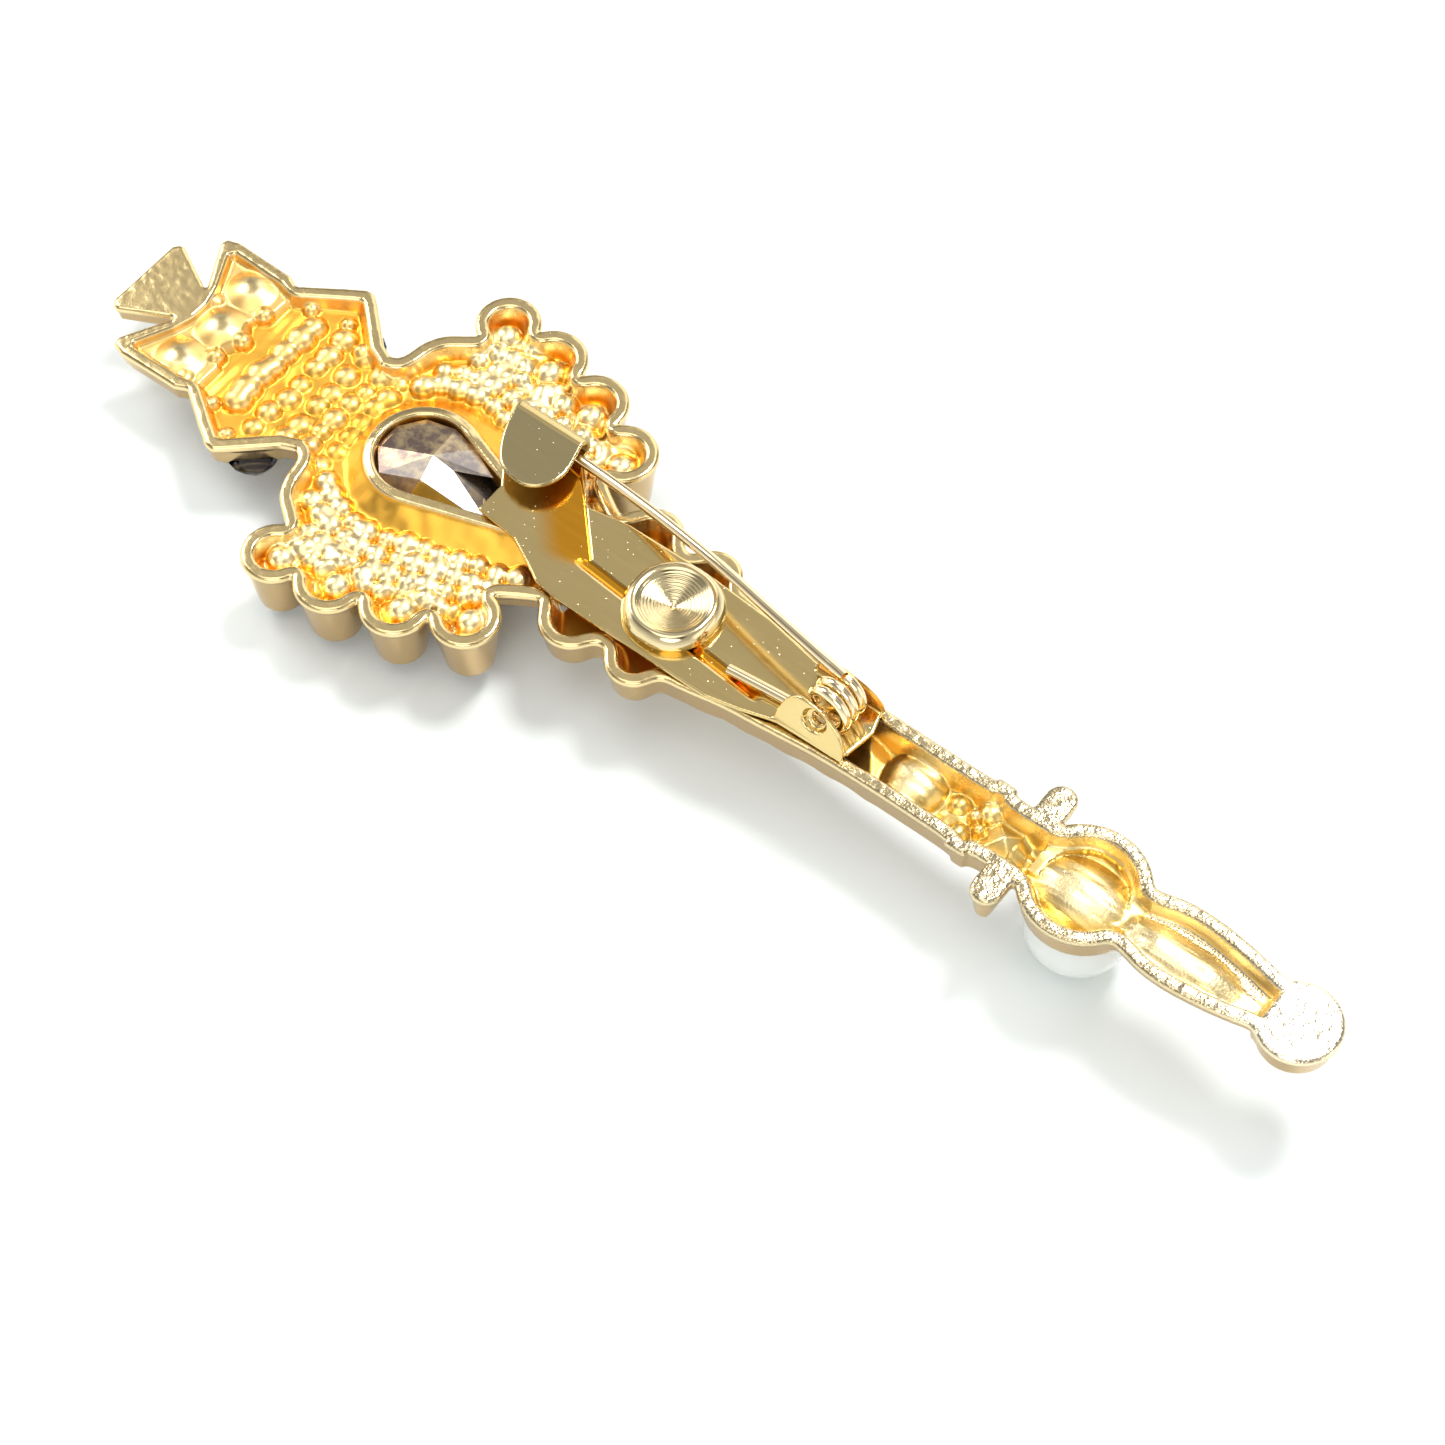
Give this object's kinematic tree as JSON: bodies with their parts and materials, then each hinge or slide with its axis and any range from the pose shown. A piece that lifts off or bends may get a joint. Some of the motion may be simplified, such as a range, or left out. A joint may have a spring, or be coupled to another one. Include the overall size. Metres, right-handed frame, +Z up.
{
  "type": "hat pin",
  "caption": "Hollow-backed gold hat pin shaped as a crowned sceptre, with set crystals, a pearl and a riveted spring pin with a folded catch.",
  "frame": {"origin": "on the table under the middle of the pin's length, between its head and its tail", "axes": "+X from the cross at the head to the disc at the tail, +Y across, +Z up out of the pin's back, as it lies face down"},
  "size_m": [0.106, 0.031, 0.0129],
  "materials": {
    "cast_gold": "gold-plated casting, grainy in the hollow, satin on the rims",
    "stamped_gold": "bright gold-plated sheet with fine scratches",
    "spring_wire": "polished gold-plated spring wire",
    "clear_crystal": "cut and polished clear glass",
    "smoky_crystal": "cut and polished smoky glass",
    "pearl": "nacre-coated imitation pearl"
  },
  "bodies": {
    "brooch": {"frame_casting": "cast_gold", "pin_plate": "stamped_gold", "rivet_stud": "stamped_gold", "spring_tail": "spring_wire", "pearl": "pearl", "centre_crystal": "clear_crystal", "square_stone": "clear_crystal", "baguette_stone": "clear_crystal", "lobe_stone_left_1": "clear_crystal", "lobe_stone_right_1": "clear_crystal", "lobe_stone_left_2": "clear_crystal", "lobe_stone_right_2": "clear_crystal", "lobe_stone_left_3": "clear_crystal", "lobe_stone_right_3": "clear_crystal", "lobe_stone_left_4": "clear_crystal", "lobe_stone_right_4": "clear_crystal", "bulge_stone_left_1": "clear_crystal", "bulge_stone_right_1": "clear_crystal", "bulge_stone_left_2": "clear_crystal", "bulge_stone_right_2": "clear_crystal", "cross_stone_1": "clear_crystal", "cross_stone_2": "clear_crystal", "cross_stone_3": "clear_crystal", "staff_stone_1": "clear_crystal", "staff_stone_2": "clear_crystal", "staff_stone_3": "clear_crystal", "staff_stone_4": "clear_crystal", "collar_stone_1": "clear_crystal", "collar_stone_2": "clear_crystal", "collar_stone_3": "clear_crystal", "crown_stone_1": "clear_crystal", "crown_stone_2": "clear_crystal", "crown_stone_3": "clear_crystal", "crown_stone_4": "clear_crystal", "crown_stone_5": "clear_crystal", "crown_stone_6": "clear_crystal", "crown_stone_7": "clear_crystal", "crown_band_stone_1": "clear_crystal", "crown_band_stone_2": "clear_crystal", "crown_band_stone_3": "clear_crystal", "crown_band_stone_4": "clear_crystal", "crown_band_stone_5": "clear_crystal", "wing_stone_left_1": "clear_crystal", "wing_stone_right_1": "clear_crystal", "wing_stone_left_2": "clear_crystal", "wing_stone_right_2": "clear_crystal", "wing_stone_left_3": "clear_crystal", "wing_stone_right_3": "clear_crystal", "wing_stone_left_4": "clear_crystal", "wing_stone_right_4": "clear_crystal", "wing_stone_left_5": "clear_crystal", "wing_stone_right_5": "clear_crystal", "wing_stone_left_6": "clear_crystal", "wing_stone_right_6": "clear_crystal", "shoulder_stone_left": "smoky_crystal", "shoulder_stone_right": "smoky_crystal"},
    "coil": {"spring_coil": "spring_wire"},
    "stem": {"pin_stem": "spring_wire"}
  },
  "joints": [
    {"name": "pin_lift", "type": "hinge", "parent": "brooch", "child": "coil", "pos_m": [0.01193, 0, 0.01096], "axis": [0, 1, 0], "range_deg": [0, 70]},
    {"name": "release_flex", "type": "hinge", "parent": "coil", "child": "stem", "pos_m": [0.01193, 0.0011, 0.01096], "axis": [-0.046, 0, 0.9989], "range_deg": [0, 12], "stiffness_Nm_per_rad": 0.02}
  ]
}
